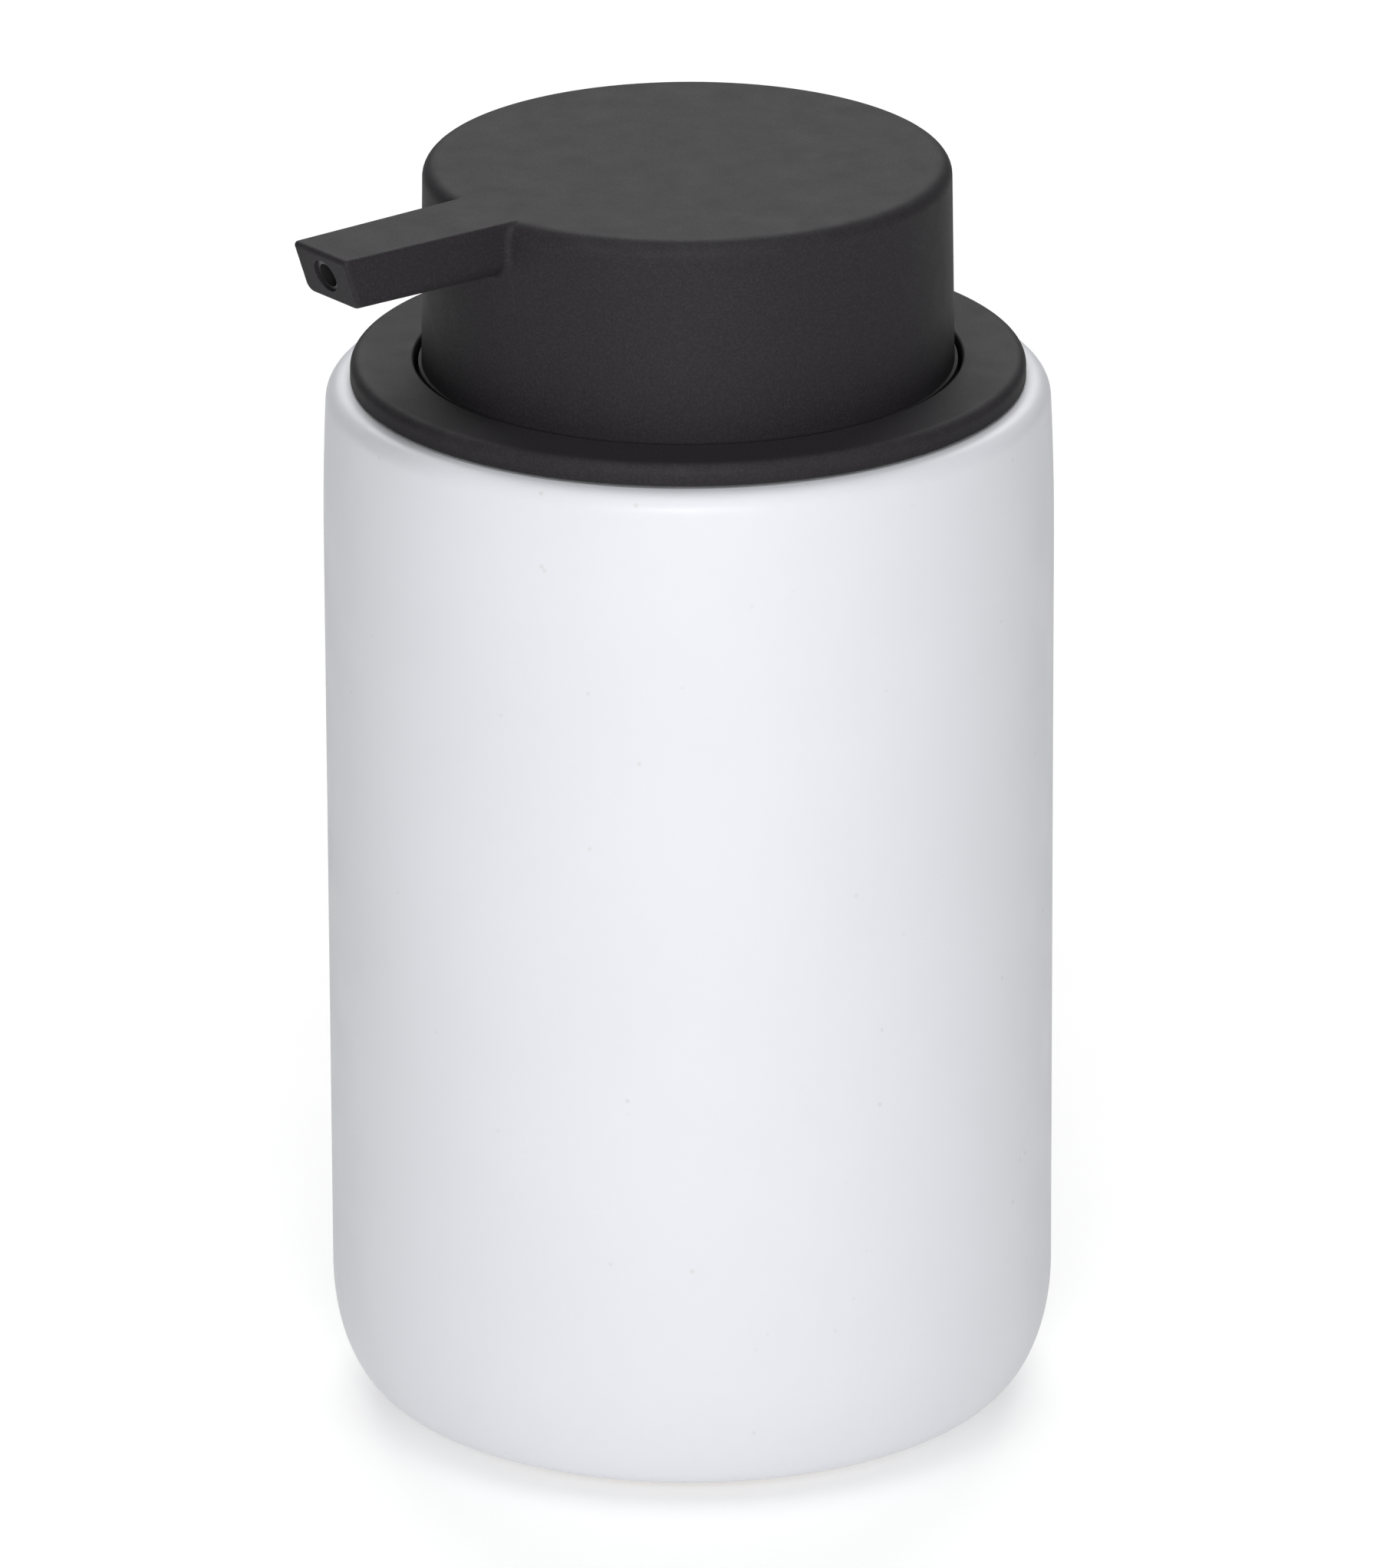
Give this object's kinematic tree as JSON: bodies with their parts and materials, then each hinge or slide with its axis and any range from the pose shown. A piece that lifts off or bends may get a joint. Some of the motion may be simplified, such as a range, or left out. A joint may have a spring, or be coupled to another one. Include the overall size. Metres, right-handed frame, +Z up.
{
  "type": "soap pump dispenser",
  "caption": "Free-standing round soap dispenser: matte stoneware bottle with a lift-out pump lid, a wide press cap that turns, a tapered level spout, a return spring and a check ball.",
  "frame": {"origin": "centre of the resting face, on the underside of the foot pad", "axes": "+Z up along the bottle's axis, the spout points along -Y, X across the spout"},
  "size_m": [0.075, 0.0843, 0.1347],
  "materials": {
    "stoneware": "satin matte white glaze, smooth, with very faint cloudiness",
    "pad_silicone": "matte translucent grey silicone",
    "soft_touch_charcoal": "warm charcoal soft-touch coating with a fine even grain",
    "charcoal_plastic": "moulded charcoal polypropylene, fine spark-eroded texture",
    "seal_silicone": "dark grey silicone, soft sheen",
    "natural_plastic": "natural white polypropylene, slightly waxy",
    "tube_plastic": "milky polyethylene tube",
    "nozzle_plastic": "dark moulded plastic, satin",
    "spring_steel": "drawn stainless steel, bright satin"
  },
  "bodies": {
    "bottle": {"ceramic_bottle": "stoneware", "foot_pad": "pad_silicone"},
    "lid": {"collar_ring": "soft_touch_charcoal", "lid_well": "charcoal_plastic", "mouth_gasket": "seal_silicone", "neck_gasket": "seal_silicone", "pump_closure": "natural_plastic", "stem_guide": "natural_plastic", "pump_housing": "natural_plastic", "ball_retainer": "natural_plastic", "dip_tube": "tube_plastic"},
    "ball": {"check_ball": "spring_steel"},
    "plunger": {"return_spring": "spring_steel"},
    "piston": {"piston_seal": "seal_silicone"},
    "head": {"head_cap": "soft_touch_charcoal", "head_base": "charcoal_plastic", "outlet_elbow": "natural_plastic", "nozzle_tube": "nozzle_plastic", "pump_stem": "natural_plastic", "piston_rod": "natural_plastic"}
  },
  "joints": [
    {"name": "lid_lift", "type": "slide", "parent": "bottle", "child": "lid", "axis": [0, 0, 1], "range_m": [0, 0.112]},
    {"name": "ball_lift", "type": "slide", "parent": "lid", "child": "ball", "axis": [0, 0, 1], "range_m": [0, 0.0015]},
    {"name": "stroke", "type": "slide", "parent": "lid", "child": "plunger", "axis": [0, 0, 1], "range_m": [-0.011, 0], "stiffness_N_per_m": 1100, "springref_m": 0.0075, "deforming": ["return_spring"]},
    {"name": "piston_shift", "type": "slide", "parent": "plunger", "child": "piston", "axis": [0, 0, 1], "range_m": [0, 0.0012]},
    {"name": "head_swivel", "type": "hinge", "parent": "plunger", "child": "head", "pos_m": [0, 0, 0.12], "axis": [0, 0, 1], "continuous": true}
  ]
}
